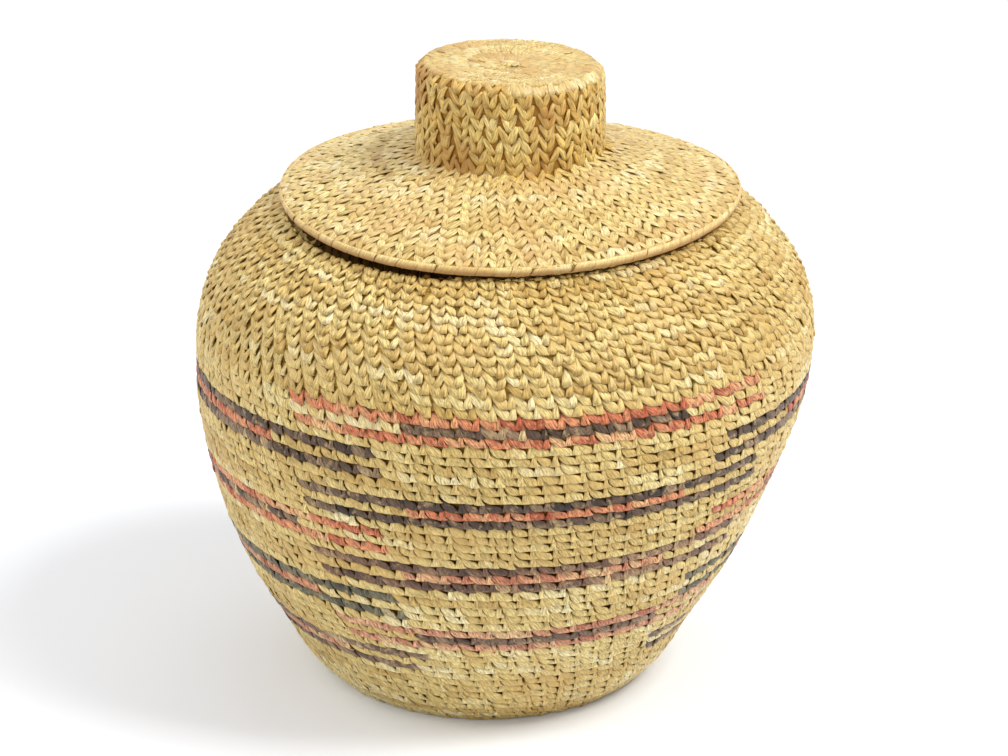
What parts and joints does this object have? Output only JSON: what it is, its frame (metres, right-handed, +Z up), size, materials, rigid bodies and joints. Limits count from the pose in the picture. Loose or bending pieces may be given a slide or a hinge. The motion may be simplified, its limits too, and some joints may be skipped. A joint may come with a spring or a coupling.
{
  "type": "coiled grass basket with lid",
  "caption": "Lidded storage basket sewn from one spiral grass coil, with a full belly, narrow base, knobbed lift-off lid and stepped dyed stripes.",
  "frame": {"origin": "centre of the bounding box's bottom, on the surface the basket stands on", "axes": "+Z up, +X to the right and -Y towards the viewer of the front dyed block"},
  "size_m": [0.2178, 0.219, 0.2263],
  "materials": {
    "wall_grass": "dry, slightly glossy grass",
    "lid_grass": "dry, slightly glossy grass",
    "edge_grass": "dry, slightly glossy grass",
    "red_strand": "dyed grass strand, slightly glossy",
    "coral_strand": "dyed grass strand, slightly glossy",
    "rose_strand": "dyed grass strand, slightly glossy",
    "charcoal_strand": "dyed grass strand, slightly glossy",
    "plum_strand": "dyed grass strand, slightly glossy",
    "moss_strand": "dyed grass strand, slightly glossy",
    "umber_strand": "dyed grass strand, slightly glossy"
  },
  "bodies": {
    "vessel": {"base_coil": "wall_grass", "lower_wall_coil": "wall_grass", "belly_coil": "wall_grass", "shoulder_coil": "wall_grass", "mouth_coil": "wall_grass", "band1_front_upper_strand": "red_strand", "band1_front_middle_strand": "charcoal_strand", "band1_front_lower_strand": "red_strand", "band2_front_upper_strand": "charcoal_strand", "band2_front_middle_strand": "red_strand", "band2_front_lower_strand": "charcoal_strand", "band3_front_upper_strand": "plum_strand", "band3_front_middle_strand": "coral_strand", "band3_front_lower_strand": "plum_strand", "band4_front_upper_strand": "rose_strand", "band4_front_middle_strand": "umber_strand", "band4_front_lower_strand": "rose_strand", "band1_right_upper_strand": "charcoal_strand", "band1_right_middle_strand": "red_strand", "band1_right_lower_strand": "charcoal_strand", "band2_right_upper_strand": "red_strand", "band2_right_middle_strand": "charcoal_strand", "band2_right_lower_strand": "red_strand", "band3_right_upper_strand": "moss_strand", "band3_right_middle_strand": "coral_strand", "band3_right_lower_strand": "moss_strand", "band4_right_upper_strand": "umber_strand", "band4_right_middle_strand": "rose_strand", "band4_right_lower_strand": "umber_strand", "band1_back_upper_strand": "red_strand", "band1_back_middle_strand": "charcoal_strand", "band1_back_lower_strand": "red_strand", "band2_back_upper_strand": "charcoal_strand", "band2_back_middle_strand": "red_strand", "band2_back_lower_strand": "charcoal_strand", "band3_back_upper_strand": "plum_strand", "band3_back_middle_strand": "coral_strand", "band3_back_lower_strand": "plum_strand", "band4_back_upper_strand": "rose_strand", "band4_back_middle_strand": "umber_strand", "band4_back_lower_strand": "rose_strand", "band1_left_upper_strand": "charcoal_strand", "band1_left_middle_strand": "red_strand", "band1_left_lower_strand": "charcoal_strand", "band2_left_upper_strand": "red_strand", "band2_left_middle_strand": "charcoal_strand", "band2_left_lower_strand": "red_strand", "band3_left_upper_strand": "moss_strand", "band3_left_middle_strand": "coral_strand", "band3_left_lower_strand": "moss_strand", "band4_left_upper_strand": "umber_strand", "band4_left_middle_strand": "rose_strand", "band4_left_lower_strand": "umber_strand"},
    "lid": {"knob_top_coil": "lid_grass", "knob_side_coil": "lid_grass", "brim_coil": "lid_grass", "edge_coil": "edge_grass", "flange_coil": "lid_grass"}
  },
  "joints": [
    {"name": "lid_lift", "type": "slide", "parent": "vessel", "child": "lid", "axis": [0, 0, 1], "range_m": [0, 0.06]}
  ]
}
